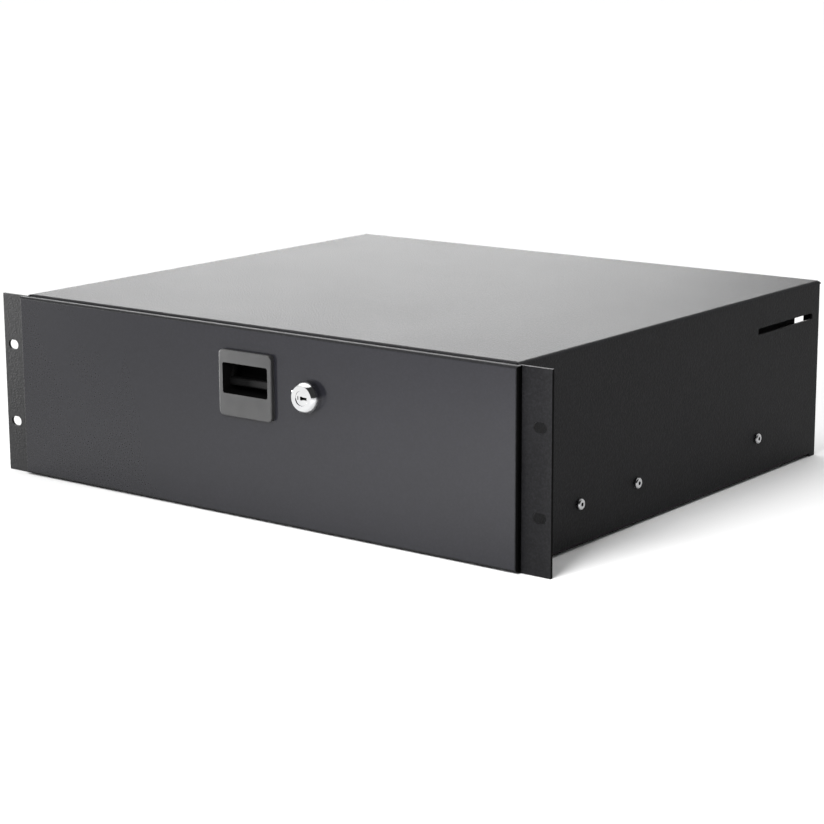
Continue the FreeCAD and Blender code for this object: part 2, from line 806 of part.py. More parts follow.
# ---- latch ---------------------------------------------------------------
def latch_bezel():
    """The moulded pull: a face plate with a finger pocket behind its mouth."""
    half = pull_width / 2
    plate = rounded_plate(-half, half, pull_bottom, pull_top, pull_face, front_face,
                          pull_corner)
    edges = [edge for edge in plate.Edges if abs(edge.BoundBox.YMax - pull_face) < 1e-6]
    plate = plate.makeFillet(pull_edge, edges)
    pocket = pocket_hole(0, front_face - 1, pocket_rear)
    body = fused([plate, pocket])
    half_mouth = mouth_width / 2
    mouth = rounded_plate(-half_mouth, half_mouth, mouth_bottom, mouth_top, pull_face - 1,
                          pocket_rear - pocket_wall, mouth_corner)
    window = box(-half_mouth, half_mouth, pocket_window_front, pocket_window_rear,
                 mouth_top - mouth_corner, mouth_top + pocket_wall + 1)
    cutters = [mouth, window]
    for x in (-latch_screw_x, latch_screw_x):
        for z in (latch_screw_low, latch_screw_high):
            cutters.append(rod_y(latch_screw_radius, front_face - latch_screw_grip,
                                 front_face + 1, x, z))
    return body.cut(cutters)


def latch_bracket():
    """A steel bracket behind the front wall that carries the latch pin."""
    inside = bracket_inside / 2
    outside = inside + bracket_sheet
    back = wall_back + bracket_sheet
    base = box(-outside, outside, wall_back, back, bracket_bottom, bracket_top)
    parts = [base]
    for sign in (-1, 1):
        x0, x1 = sorted((sign * inside, sign * outside))
        nose = rod_x(cheek_nose, x0, x1, pin_y, pin_z)
        web = box(x0, x1, wall_back, pin_y, bracket_bottom, pin_z + cheek_nose)
        slope = flat_outline([(wall_back, bracket_bottom), (pin_y, pin_z - cheek_nose),
                              (pin_y, bracket_bottom - past)], [0, 0, 0], on_yz,
                             V(x0 - past, 0, 0), V(bracket_sheet + 2 * past, 0, 0))
        parts.append(fused([web.cut(slope), nose]))
    body = fused(parts)
    arm_outside = mouth_width / 2 - mouth_play
    cutters = []
    for sign in (-1, 1):
        x0, x1 = sorted((sign * (arm_outside + arm_side_clear),
                         sign * (arm_outside - arm_thickness - arm_side_clear)))
        cutters.append(box(x0, x1, wall_back - 1, back + 1,
                           bracket_bottom - 1, bracket_notch_top))
    cutters.append(rod_x(pin_radius + pin_play, -outside - 1, outside + 1, pin_y, pin_z))
    for x in (-latch_screw_x, latch_screw_x):
        cutters.append(rod_y(latch_screw_radius + screw_hole_play, wall_back - 1,
                             back + 1, x, latch_screw_high))
    return body.cut(cutters)


def latch_screws():
    """Screws from behind that hold the pull, two of them through the bracket."""
    screws = []
    for x in (-latch_screw_x, latch_screw_x):
        for z, seat in ((latch_screw_low, wall_back),
                        (latch_screw_high, wall_back + bracket_sheet)):
            shank = rod_y(latch_screw_radius, front_face - latch_screw_grip, seat, x, z)
            top = seat + latch_screw_head_height
            head = rod_y(latch_screw_head / 2, seat, top, x, z)
            rim = [edge for edge in head.Edges if abs(edge.BoundBox.YMin - top) < 1e-6]
            head = head.makeChamfer(latch_screw_chamfer, rim)
            screws.append(fused([shank, head]))
    return Part.makeCompound(screws)


def latch_pin():
    outside = bracket_inside / 2 + bracket_sheet
    pin = rod_x(pin_radius, -outside, outside + clip_thickness + pin_tail, pin_y, pin_z)
    head = rod_x(pin_head_radius, -outside - pin_head, -outside, pin_y, pin_z)
    return fused([pin, head])


def pin_clip():
    """A retaining ring on the free end of the pin."""
    x0 = bracket_inside / 2 + bracket_sheet
    ring = rod_x(clip_radius, x0, x0 + clip_thickness, pin_y, pin_z)
    bore = rod_x(pin_radius, x0 - 1, x0 + clip_thickness + 1, pin_y, pin_z)
    mouth = box(x0 - past, x0 + clip_thickness + past, pin_y - clip_mouth / 2,
                pin_y + clip_mouth / 2, pin_z - clip_radius - past, pin_z)
    return ring.cut([bore, mouth])


def latch_lever():
    """Finger bar, two arms, the barrel on the pin and the hook in one moulding."""
    barrel_half = bracket_inside / 2 - lever_end_play
    parts = [rod_x(lever_barrel, -barrel_half, barrel_half, pin_y, pin_z)]
    outer = mouth_width / 2 - mouth_play
    half = arm_width / 2
    for x0 in (-outer, outer - arm_thickness):
        arm = flat_outline([(pin_y - half, pin_z), (bar_y - half, bar_z),
                            (bar_y + half, bar_z), (pin_y + half, pin_z)],
                           [0] * 4, on_yz, V(x0, 0, 0), V(arm_thickness, 0, 0))
        parts.append(arm)
    bar = flat_outline([(bar_y - bar_depth / 2, bar_z - bar_height / 2),
                        (bar_y + bar_depth / 2, bar_z - bar_height / 2),
                        (bar_y + bar_depth / 2, bar_z + bar_height / 2),
                        (bar_y - bar_depth / 2, bar_z + bar_height / 2)],
                       [bar_corner] * 4, on_yz, V(-outer, 0, 0), V(2 * outer, 0, 0))
    parts.append(bar)
    tip = pin_z + hook_rise
    floor = strike_bottom - hook_root_clear
    under = floor - hook_arm_height
    rear = hook_face + hook_depth
    outline = [(pin_y, under + hook_arm_taper), (rear, under), (rear, tip - hook_slope_drop),
               (hook_face + hook_slope_run, tip), (hook_face, tip), (hook_face, floor),
               (pin_y, floor + hook_arm_taper)]
    radii = [0, hook_heel] + [hook_corner] * 4 + [0]
    hook = flat_outline(outline, radii, on_yz, V(-hook_width / 2, 0, 0), V(hook_width, 0, 0))
    parts.append(hook)
    coil_radius = lever_barrel + spring_clear + 2 * spring_wire
    coil_end = hook_width / 2 + spring_gap + spring_pitch * spring_coils
    lug_front = pin_y + coil_radius + spring_clear
    parts.append(box(hook_width / 2 - lug_overlap, coil_end + lug_past_coil,
                     lug_front, lug_front + lug_depth,
                     pin_z - coil_radius + 2 * spring_wire + spring_seat, floor))
    lever = fused(parts)
    return lever.cut(rod_x(pin_radius + pin_play, -barrel_half - 1, barrel_half + 1,
                           pin_y, pin_z))


def latch_spring():
    """A torsion spring round the lever's barrel, one leg on the bracket."""
    radius = lever_barrel + spring_clear + spring_wire
    start_x = hook_width / 2 + spring_gap
    helix = Part.makeHelix(spring_pitch, spring_pitch * spring_coils, radius)
    helix.Placement = FreeCAD.Placement(V(start_x, pin_y, pin_z),
                                        FreeCAD.Rotation(V(0, 0, 1), V(1, 0, 0)))
    first = helix.Edges[0].valueAt(helix.Edges[0].FirstParameter)
    tangent = helix.Edges[0].tangentAt(helix.Edges[0].FirstParameter)
    ring = Part.Wire(Part.makeCircle(spring_wire, first, tangent))
    coil = Part.Wire(helix.Edges).makePipeShell([ring], True, True)
    low = pin_z - radius
    bearing = wall_back + bracket_sheet
    front_leg = rod_y(spring_wire, bearing, pin_y, start_x, low)
    lug_rear = pin_y + lever_barrel + 2 * spring_clear + 2 * spring_wire + lug_depth
    rear_leg = rod_y(spring_wire, pin_y, lug_rear, start_x + spring_pitch * spring_coils, low)
    return fused([coil, front_leg, rear_leg])


# ---- lock ----------------------------------------------------------------
def lock_barrel():
    """Domed cap and threaded body with two flats."""
    face = front_face - lock_cap_rise
    rim = front_face - lock_cap_rim
    middle = V((lock_cap_radius + lock_face_radius) / 2 + lock_cap_bulge,
               (rim + face) / 2 - lock_cap_bulge, 0)
    edges = [Part.makeLine(V(0, face, 0), V(lock_face_radius, face, 0)),
             Part.Arc(V(lock_face_radius, face, 0), middle,
                      V(lock_cap_radius, rim, 0)).toShape(),
             Part.makeLine(V(lock_cap_radius, rim, 0), V(lock_cap_radius, front_face, 0)),
             Part.makeLine(V(lock_cap_radius, front_face, 0), V(0, front_face, 0)),
             Part.makeLine(V(0, front_face, 0), V(0, face, 0))]
    cap = Part.Face(Part.Wire(edges)).revolve(V(0, 0, 0), V(0, 1, 0), 360)
    cap.translate(V(lock_x, 0, lock_z))
    body = lock_hole(0, front_face, lock_body_rear)
    bore = rod_y(plug_radius + plug_play, face - 1, lock_body_rear + 1, lock_x, lock_z)
    return fused([cap, body]).cut(bore)


def lock_nut():
    nut = hexagon(lock_nut_radius * math.sqrt(3), lock_nut_height,
                  V(lock_x, wall_back, lock_z), V(0, 1, 0))
    return nut.cut(rod_y(lock_body_radius + lock_nut_play, wall_back - 1,
                         wall_back + lock_nut_height + 1, lock_x, lock_z))


def lock_plug():
    """The part that the key turns, with a square tail for the cam."""
    face = front_face - lock_cap_rise + plug_recess
    plug = rod_y(plug_radius, face, cam_front, lock_x, lock_z)
    half = cam_square / 2
    tail = box(lock_x - half, lock_x + half, cam_front, cam_front + cam_thickness,
               lock_z - half, lock_z + half)
    start = lock_x + key_slot_start
    slot = box(start, lock_x + key_slot_end, face - past, face + key_slot_depth,
               lock_z - key_slot_width / 2, lock_z + key_slot_width / 2)
    notch = box(start, start + key_notch_length, face - past, face + key_slot_depth,
                lock_z - key_notch_width / 2, lock_z + key_notch_width / 2)
    shutter = lock_x + shutter_slot_x
    mark = box(shutter, shutter + shutter_slot_length, face - past, face + shutter_slot_depth,
               lock_z - key_notch_width / 2, lock_z + key_notch_width / 2)
    shank = rod_y(cam_screw_shank / 2, cam_front - cam_screw_hole,
                  cam_front + cam_thickness + past, lock_x, lock_z)
    return fused([plug, tail]).cut([slot, notch, mark, shank])


def lock_cam():
    half = cam_width / 2
    back = cam_front + cam_thickness
    hub = rod_y(half, cam_front, back, lock_x, lock_z)
    arm = rounded_plate(lock_x, lock_x + cam_reach, lock_z - half, lock_z + half,
                        cam_front, back, cam_corner)
    square = cam_square / 2
    hole = box(lock_x - square, lock_x + square, cam_front - 1, back + 1,
               lock_z - square, lock_z + square)
    return fused([hub, arm]).cut(hole)


def cam_screw():
    seat = cam_front + cam_thickness
    head = hexagon(cam_screw_head, cam_screw_height, V(lock_x, seat, lock_z), V(0, 1, 0))
    shank = rod_y(cam_screw_shank / 2, cam_front - cam_screw_reach, seat, lock_x, lock_z)
    return fused([head, shank])


def main():
    nodes = {
        "case_shell": case_shell(),
        "bottom_rail_front": bottom_rail(rail_front_y),
        "bottom_rail_rear": bottom_rail(case_rear - rail_rear_gap - rail_depth),
        "strike_plate": strike_plate(),
        "drawer_tray": drawer_tray(),
        "drawer_front": drawer_front(),
        "front_studs": front_studs(),
        "front_nuts": front_nuts(),
        "outer_balls": balls(outer_ball_depth, outer_ball_z),
        "inner_balls": balls(inner_ball_depth, inner_ball_z),
        "outer_cages": cages(runner_sheet, outer_ball_depth, outer_ball_z),
        "inner_cages": cages(middle_back + runner_sheet, inner_ball_depth, inner_ball_z),
        "latch_bezel": latch_bezel(),
        "latch_bracket": latch_bracket(),
        "latch_screws": latch_screws(),
        "latch_pin": latch_pin(),
        "pin_clip": pin_clip(),
        "latch_lever": latch_lever(),
        "latch_spring": latch_spring(),
        "lock_barrel": lock_barrel(),
        "lock_nut": lock_nut(),
        "lock_plug": lock_plug(),
        "lock_cam": lock_cam(),
        "cam_screw": cam_screw(),
    }
    handed = {
        "runner_outer": runner_outer(),
        "runner_middle": runner_middle(),
        "runner_inner": runner_inner(),
        "case_screws": case_screws(),
        "tray_screws": tray_screws(),
    }
    for name, shape in handed.items():
        nodes[name + "_right"] = shape
        nodes[name + "_left"] = mirrored(shape)
    os.makedirs("parts", exist_ok=True)
    for name, shape in nodes.items():
        shape.exportStep("parts/" + name + ".step")
        print(name, len(shape.Solids), "valid" if shape.isValid() else "INVALID",
              round(shape.Volume, 1))


main()
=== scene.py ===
"""Looks of the sliding rack drawer: finishes of every piece, floor, light and camera."""

import math

import bmesh
import bpy
from mathutils import Matrix, Vector


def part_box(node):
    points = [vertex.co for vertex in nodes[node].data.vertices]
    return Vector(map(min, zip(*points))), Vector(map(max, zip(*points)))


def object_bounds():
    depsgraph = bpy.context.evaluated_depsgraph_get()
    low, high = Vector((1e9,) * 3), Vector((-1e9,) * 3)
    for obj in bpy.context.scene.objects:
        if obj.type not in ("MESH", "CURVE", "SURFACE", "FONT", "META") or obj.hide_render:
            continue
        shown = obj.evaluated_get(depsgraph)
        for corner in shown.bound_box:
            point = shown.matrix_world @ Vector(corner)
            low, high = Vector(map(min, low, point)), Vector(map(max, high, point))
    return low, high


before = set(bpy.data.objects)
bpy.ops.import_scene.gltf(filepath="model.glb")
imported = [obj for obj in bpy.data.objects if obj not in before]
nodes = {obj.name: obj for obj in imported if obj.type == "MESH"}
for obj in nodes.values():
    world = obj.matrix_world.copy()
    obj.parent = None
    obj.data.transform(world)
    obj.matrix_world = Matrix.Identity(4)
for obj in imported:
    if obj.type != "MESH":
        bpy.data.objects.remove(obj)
cad_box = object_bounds()
MM = 0.001


# ---- Case ---------------------------------------------------------------
# The case is one folded sheet of 2 mm steel with its ears, two cross rails
# and the strike angle spot-welded to it, all sprayed together with a coarse
# black polyester powder and baked.

def colour(code):
    """Linear colour of an sRGB hex value."""
    parts = [int(code[i:i + 2], 16) / 255 for i in (0, 2, 4)]
    return [c / 12.92 if c <= 0.04045 else ((c + 0.055) / 1.055) ** 2.4 for c in parts] + [1.0]


def add_node(tree, kind, settings=None, inputs=None):
    """Adds a shader node. An input is a number, a colour, or another node's output."""
    made = tree.nodes.new(kind)
    for name, value in (settings or {}).items():
        setattr(made, name, value)
    for name, value in (inputs or {}).items():
        if isinstance(value, bpy.types.NodeSocket):
            tree.links.new(value, made.inputs[name])
        else:
            made.inputs[name].default_value = value
    return made


def new_material(name):
    """A material with its Principled shader, tree and the piece's own place."""
    material = bpy.data.materials.new(name)
    material.use_nodes = True
    tree = material.node_tree
    shader = tree.nodes["Principled BSDF"]
    place = add_node(tree, "ShaderNodeTexCoord").outputs["Object"]
    return material, tree, shader, place


def per_metre(size_mm):
    """Texture scale for a pattern whose features lie size_mm apart."""
    return 1 / (size_mm * MM)


def wear(node, material):
    """Gives a CAD node its material."""
    mesh = nodes[node].data
    mesh.materials.clear()
    mesh.materials.append(material)


def second_finish(node, material, chosen):
    """Gives a CAD node's chosen faces another material than the rest."""
    mesh = nodes[node].data
    mesh.materials.append(material)
    for face in mesh.polygons:
        if chosen(face):
            face.material_index = len(mesh.materials) - 1


def ease_edges(node, radius_mm, segments=2, angle=28):
    """Closes the node's loose triangles and rounds its sharp edges a little."""
    piece = nodes[node]
    for polygon in piece.data.polygons:
        polygon.use_smooth = True
    weld = piece.modifiers.new("weld", "WELD")
    weld.merge_threshold = 0.002 * MM
    flat = piece.modifiers.new("join_flats", "DECIMATE")
    flat.decimate_type = "DISSOLVE"
    flat.angle_limit = math.radians(0.4)
    bevel = piece.modifiers.new("soft_edges", "BEVEL")
    bevel.width = radius_mm * MM
    bevel.segments = segments
    bevel.limit_method = "ANGLE"
    bevel.angle_limit = math.radians(angle)
    bevel.use_clamp_overlap = True
    normals = piece.modifiers.new("even_light", "WEIGHTED_NORMAL")
    normals.keep_sharp = False
    normals.weight = 80


# A noise pattern stays between these values over nearly all of its area.
noise_low = 0.3
noise_high = 0.7
# The coat's tone drifts over this distance, and its peel and grains stand this strong.
coat_drift_mm = 70.0
coat_drift_share = 0.3
peel_depth = 0.03 * MM
peel_strength = 0.35
grain_strength = 0.6


def powder_coat(name, base, worn, grain_mm, peel_mm, grain_high_mm, roughness, ior):
    """Black powder coat: baked grains over a slow orange peel, a little uneven in tone."""
    # Real grains are about a third as wide. They are drawn coarser so that they show.
    material, tree, shader, place = new_material(name)
    cloud = add_node(tree, "ShaderNodeTexNoise", {},
                     {"Vector": place, "Scale": per_metre(coat_drift_mm), "Detail": 3.0})
    grains = add_node(tree, "ShaderNodeTexNoise", {},
                      {"Vector": place, "Scale": per_metre(grain_mm), "Detail": 2.0,
                       "Roughness": 0.6})
    peel = add_node(tree, "ShaderNodeTexNoise", {},
                    {"Vector": place, "Scale": per_metre(peel_mm), "Detail": 1.0})
    tone = add_node(tree, "ShaderNodeMapRange", {},
                    {"Value": cloud.outputs["Fac"], "From Min": noise_low,
                     "From Max": noise_high, "To Min": 0.0, "To Max": coat_drift_share})
    specks = add_node(tree, "ShaderNodeMapRange", {},
                      {"Value": grains.outputs["Fac"], "From Min": 0.42, "From Max": 0.72,
                       "To Min": 0.0, "To Max": 0.6})
    share = add_node(tree, "ShaderNodeMath", {"operation": "ADD", "use_clamp": True},
                     {0: tone.outputs["Result"], 1: specks.outputs["Result"]})
    mixed = add_node(tree, "ShaderNodeMix", {"data_type": "RGBA"},
                     {"Factor": share.outputs["Value"], "A": colour(base), "B": colour(worn)})
    dull = add_node(tree, "ShaderNodeMapRange", {},
                    {"Value": cloud.outputs["Fac"], "From Min": noise_low,
                     "From Max": noise_high, "To Min": roughness - 0.008,
                     "To Max": roughness + 0.008})
    slow = add_node(tree, "ShaderNodeBump", {},
                    {"Height": peel.outputs["Fac"], "Strength": peel_strength,
                     "Distance": peel_depth})
    bump = add_node(tree, "ShaderNodeBump", {},
                    {"Height": grains.outputs["Fac"], "Strength": grain_strength,
                     "Distance": grain_high_mm * MM, "Normal": slow.outputs["Normal"]})
    tree.links.new(mixed.outputs["Result"], shader.inputs["Base Color"])
    tree.links.new(dull.outputs["Result"], shader.inputs["Roughness"])
    tree.links.new(bump.outputs["Normal"], shader.inputs["Normal"])
    shader.inputs["IOR"].default_value = ior
    return material


# The coarse coat looks like fine sand: dull, and grey only where light grazes it.
case_coat = powder_coat("polyester_powder_coat_sprayed_coarse_black", "151516", "212123",
                        grain_mm=1.5, peel_mm=3.6, grain_high_mm=0.45, roughness=0.56, ior=1.18)
# The sheared ear edges and the folded rim's sides get a near-black coat, painted shade where
# shade falls on them.
painted_shade_edge_coat = powder_coat("powder_coat_painted_shade_on_edges_and_rim_sides", "040404", "080808",
                        grain_mm=1.5, peel_mm=3.6, grain_high_mm=0.30, roughness=0.6, ior=1.08)
for name in ("case_shell", "bottom_rail_front", "bottom_rail_rear", "strike_plate"):
    wear(name, case_coat)
    ease_edges(name, radius_mm=0.25)
ear_edge_reach = 0.6 * MM
ear_tip = cad_box[1].x - ear_edge_reach
sideways = 0.7
# The ears' outer edge faces are painted near black, as painted shade.
second_finish("case_shell", painted_shade_edge_coat,
              lambda face: abs(face.center.x) > ear_tip and abs(face.normal.x) > sideways)


# ---- Drawer front -------------------------------------------------------
# A shallow pan folded from 1.5 mm steel, sprayed with a finer, smoother black
# powder than the case. Welded studs on its back hold it to the tray.
# The satin coat is nearly smooth and mirrors the floor as a soft grey sheen.
front_coat = powder_coat("polyester_powder_coat_sprayed_satin_black", "1b1b1f", "202025",
                         grain_mm=1.6, peel_mm=3.4, grain_high_mm=0.003, roughness=0.18, ior=1.38)
front_slack = 0.02 * MM
front_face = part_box("drawer_front")[0].y + front_slack
rim_sideways = 0.5
wear("drawer_front", front_coat)
# The folded rim behind the face has the coarse coat. Its sides get the near-black coat, painted
# shade of the gap beside the ears.
second_finish("drawer_front", case_coat, lambda face: face.center.y > front_face)
second_finish("drawer_front", painted_shade_edge_coat, lambda face: abs(face.normal.x) > rim_sideways)
ease_edges("drawer_front", radius_mm=0.2)


# ---- Tray ---------------------------------------------------------------
# An open box folded from 1.2 mm steel, welded at its corners and screwed to the
# inner members of both runners. Its coat is the case's, a little smoother inside.
tray_coat = powder_coat("polyester_powder_coat_sprayed_coarse_tray_black", "151516", "212123",
                        grain_mm=1.5, peel_mm=3.6, grain_high_mm=0.40, roughness=0.52, ior=1.20)
wear("drawer_tray", tray_coat)
ease_edges("drawer_tray", radius_mm=0.2)


# ---- Runners ------------------------------------------------------------
# Cold-rolled steel strip, roll-formed into three members that run on balls,
# and plated with bright zinc. Rolling leaves fine lines along each member.

rolling_line_mm = 0.5
rolling_line_run_mm = 60.0
rolling_line_depth = 0.02 * MM
zinc_bloom_mm = 18.0


def zinc_plate(name, tint, lighter, along, roughness):
    """Bright zinc on steel, with rolling lines along one direction."""
    material, tree, shader, place = new_material(name)
    stretch = [per_metre(rolling_line_mm)] * 3
    stretch[along] = per_metre(rolling_line_run_mm)
    lines_place = add_node(tree, "ShaderNodeMapping", {"vector_type": "POINT"},
                           {"Vector": place, "Scale": stretch})
    lines = add_node(tree, "ShaderNodeTexNoise", {},
                     {"Vector": lines_place.outputs["Vector"], "Scale": 1.0, "Detail": 3.0})
    bloom = add_node(tree, "ShaderNodeTexNoise", {},
                     {"Vector": place, "Scale": per_metre(zinc_bloom_mm), "Detail": 3.0})
    mixed = add_node(tree, "ShaderNodeMix", {"data_type": "RGBA"},
                     {"Factor": bloom.outputs["Fac"], "A": colour(tint), "B": colour(lighter)})
    dull = add_node(tree, "ShaderNodeMapRange", {},
                    {"Value": lines.outputs["Fac"], "From Min": noise_low,
                     "From Max": noise_high, "To Min": roughness - 0.06,
                     "To Max": roughness + 0.08})
    bump = add_node(tree, "ShaderNodeBump", {},
                    {"Height": lines.outputs["Fac"], "Strength": 0.25,
                     "Distance": rolling_line_depth})
    tree.links.new(mixed.outputs["Result"], shader.inputs["Base Color"])
    tree.links.new(dull.outputs["Result"], shader.inputs["Roughness"])
    tree.links.new(bump.outputs["Normal"], shader.inputs["Normal"])
    shader.inputs["Metallic"].default_value = 1.0
    return material


# Bright zinc is a cool silver grey, with a soft streak of light along each member.
along_y = 1
along_z = 2
runner_zinc = zinc_plate("bright_zinc_plate_on_rolled_steel", "9c9fa5", "c2c4c8",
                         along=along_y, roughness=0.30)
for part in ("runner_outer", "runner_middle", "runner_inner"):
    for side in ("left", "right"):
        wear(f"{part}_{side}", runner_zinc)
        ease_edges(f"{part}_{side}", radius_mm=0.12)


# ---- Ball cages and balls -----------------------------------------------
# Cages pressed from thin zinc-plated strip hold bearing balls of hardened steel at
# even distances between the members. They run loose and are fixed to nothing.
cage_steel = zinc_plate("thin_zinc_plated_strip_pressed", "8f9399", "b4b7bb",
                        along=along_y, roughness=0.34)
for name in ("outer_cages", "inner_cages"):
    wear(name, cage_steel)


def polished_steel(name, tint, roughness, blotch_mm, lighter="e2e2e0"):
    """Hardened steel, ground and polished, with a faint uneven oil film."""
    material, tree, shader, place = new_material(name)
    film = add_node(tree, "ShaderNodeTexNoise", {},
                    {"Vector": place, "Scale": per_metre(blotch_mm), "Detail": 3.0})
    mixed = add_node(tree, "ShaderNodeMix", {"data_type": "RGBA"},
                     {"Factor": film.outputs["Fac"], "A": colour(tint), "B": colour(lighter)})
    dull = add_node(tree, "ShaderNodeMapRange", {},
                    {"Value": film.outputs["Fac"], "From Min": noise_low,
                     "From Max": noise_high, "To Min": roughness, "To Max": roughness + 0.08})
    tree.links.new(mixed.outputs["Result"], shader.inputs["Base Color"])
    tree.links.new(dull.outputs["Result"], shader.inputs["Roughness"])
    shader.inputs["Metallic"].default_value = 1.0
    return material


# Ground balls mirror what is round them, dulled a little by grease.
bearing_steel = polished_steel("bearing_steel_ground_and_polished", "c2c2c0", roughness=0.10,
                               blotch_mm=1.5)
for name in ("outer_balls", "inner_balls"):
    wear(name, bearing_steel)


# ---- Screws, studs and nuts ---------------------------------------------
# Cold-headed steel, plated with bright zinc. Button heads with a hexagon
# socket hold the runners to the case and the tray.

mottle_mm = 1.1
mottle_depth = 0.03 * MM


def turned_zinc(name, tint, lighter, roughness):
    """Zinc plate on a formed head, slightly mottled."""
    material, tree, shader, place = new_material(name)
    mottle = add_node(tree, "ShaderNodeTexNoise", {},
                      {"Vector": place, "Scale": per_metre(mottle_mm), "Detail": 4.0})
    mixed = add_node(tree, "ShaderNodeMix", {"data_type": "RGBA"},
                     {"Factor": mottle.outputs["Fac"], "A": colour(tint), "B": colour(lighter)})
    dull = add_node(tree, "ShaderNodeMapRange", {},
                    {"Value": mottle.outputs["Fac"], "From Min": noise_low,
                     "From Max": noise_high, "To Min": roughness - 0.05,
                     "To Max": roughness + 0.1})
    bump = add_node(tree, "ShaderNodeBump", {},
                    {"Height": mottle.outputs["Fac"], "Strength": 0.3,
                     "Distance": mottle_depth})
    tree.links.new(mixed.outputs["Result"], shader.inputs["Base Color"])
    tree.links.new(dull.outputs["Result"], shader.inputs["Roughness"])
    tree.links.new(bump.outputs["Normal"], shader.inputs["Normal"])
    shader.inputs["Metallic"].default_value = 1.0
    return material


# Heads are bright and faintly mottled. Sockets are painted dark, as painted shade inside the
# recess.
screw_zinc = turned_zinc("bright_zinc_plate_on_cold_headed_steel", "8c8d90", "c6c6c6",
                         roughness=0.24)
socket_painted_shade = turned_zinc("zinc_painted_dark_as_socket_shade", "0e0d0d", "2a2928", roughness=0.5)
for name in ("case_screws_left", "case_screws_right", "tray_screws_left", "tray_screws_right",
             "front_studs", "front_nuts", "latch_screws", "cam_screw"):
    wear(name, screw_zinc)
    ease_edges(name, radius_mm=0.08)


socket_reach = 1.5 * MM
socket_mouth = 0.05 * MM
socket_deep = 1.8 * MM
case_screw_places = (67.6, 137.0, 300.0)
tray_screw_places = (52.0, 180.0, 308.0)


def paint_socket_shade(node, along_mm):
    """Paints the hexagon sockets of a row of button heads dark as painted shade, at these places
    along the runner.
    """
    low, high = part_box(node)
    axis_z = (low.z + high.z) / 2
    crown = max(abs(low.x), abs(high.x))

    def in_socket(face):
        across = min(math.hypot(face.center.y - y * MM, face.center.z - axis_z) for y in along_mm)
        below = crown - abs(face.center.x)
        return across < socket_reach and socket_mouth < below < socket_deep

    second_finish(node, socket_painted_shade, in_socket)


for side in ("left", "right"):
    paint_socket_shade(f"case_screws_{side}", case_screw_places)
    paint_socket_shade(f"tray_screws_{side}", tray_screw_places)


# ---- Slam latch ---------------------------------------------------------
# The pull and the lever are black ABS mouldings with a fine spark-eroded
# grain. A bent, zinc-plated bracket behind the tray's wall carries the pin, and a
# coil of music wire round the lever's barrel brings the lever back.

pit_mm = 0.45
pit_depth = 0.03 * MM
flow_cloud_mm = 12.0


def moulded_abs(name, base, lighter, roughness, ior):
    """Black ABS out of a spark-eroded mould: fine even pits, soft sheen."""
    material, tree, shader, place = new_material(name)
    pits = add_node(tree, "ShaderNodeTexVoronoi", {},
                    {"Vector": place, "Scale": per_metre(pit_mm)})
    cloud = add_node(tree, "ShaderNodeTexNoise", {},
                     {"Vector": place, "Scale": per_metre(flow_cloud_mm), "Detail": 3.0})
    mixed = add_node(tree, "ShaderNodeMix", {"data_type": "RGBA"},
                     {"Factor": cloud.outputs["Fac"], "A": colour(base), "B": colour(lighter)})
    dull = add_node(tree, "ShaderNodeMapRange", {},
                    {"Value": cloud.outputs["Fac"], "From Min": noise_low,
                     "From Max": noise_high, "To Min": roughness - 0.05,
                     "To Max": roughness + 0.05})
    bump = add_node(tree, "ShaderNodeBump", {},
                    {"Height": pits.outputs["Distance"], "Strength": 0.3,
                     "Distance": pit_depth})
    tree.links.new(mixed.outputs["Result"], shader.inputs["Base Color"])
    tree.links.new(dull.outputs["Result"], shader.inputs["Roughness"])
    tree.links.new(bump.outputs["Normal"], shader.inputs["Normal"])
    shader.inputs["IOR"].default_value = ior
    return material


# The pull's face has a soft even sheen. Its pocket is left rough by the core and is painted
# black, as painted shade inside it.
pull_abs = moulded_abs("abs_moulded_fine_grain_black", "1e1e1f", "262626",
                       roughness=0.42, ior=1.53)
pocket_painted_shade_abs = moulded_abs("abs_moulded_painted_shade_inside_pocket", "050505", "080808",
                         roughness=0.7, ior=1.15)
pull_low, pull_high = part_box("latch_bezel")
pull_thickness = 3.4 * MM
mouth_drop = 8.8 * MM
mouth_height = 21.1 * MM
mouth_half = 19.85 * MM
mouth_slack = 0.5 * MM


def in_pocket(face):
    """Whether a face of the pull lies in its mouth or behind the drawer front."""
    deep = face.center.y - pull_low.y
    drop = pull_high.z - face.center.z
    beside = abs(face.center.x) < mouth_half + mouth_slack
    level = mouth_drop - mouth_slack < drop < mouth_drop + mouth_height + mouth_slack
    return deep > pull_thickness or (deep > mouth_slack and beside and level)


wear("latch_bezel", pull_abs)
# The pocket's faces are painted black, as painted shade.
second_finish("latch_bezel", pocket_painted_shade_abs, in_pocket)
ease_edges("latch_bezel", radius_mm=0.2)
# The lever is painted near black, darker than the pull, as painted shade of the pocket it sits
# in.
lever_painted_shade_abs = moulded_abs("abs_moulded_lever_painted_black_as_shade", "030303", "060606",
                        roughness=0.6, ior=1.2)
wear("latch_lever", lever_painted_shade_abs)
ease_edges("latch_lever", radius_mm=0.3)
bracket_zinc = zinc_plate("bright_zinc_plate_on_bent_strip", "989ba1", "bfc1c5",
                          along=along_z, roughness=0.32)
wear("latch_bracket", bracket_zinc)
ease_edges("latch_bracket", radius_mm=0.1)
for name in ("latch_pin", "pin_clip"):
    wear(name, bearing_steel)
    ease_edges(name, radius_mm=0.08)
spring_steel = polished_steel("music_wire_coiled_and_oiled", "8e8f92", roughness=0.22,
                              blotch_mm=2.0)
wear("latch_spring", spring_steel)


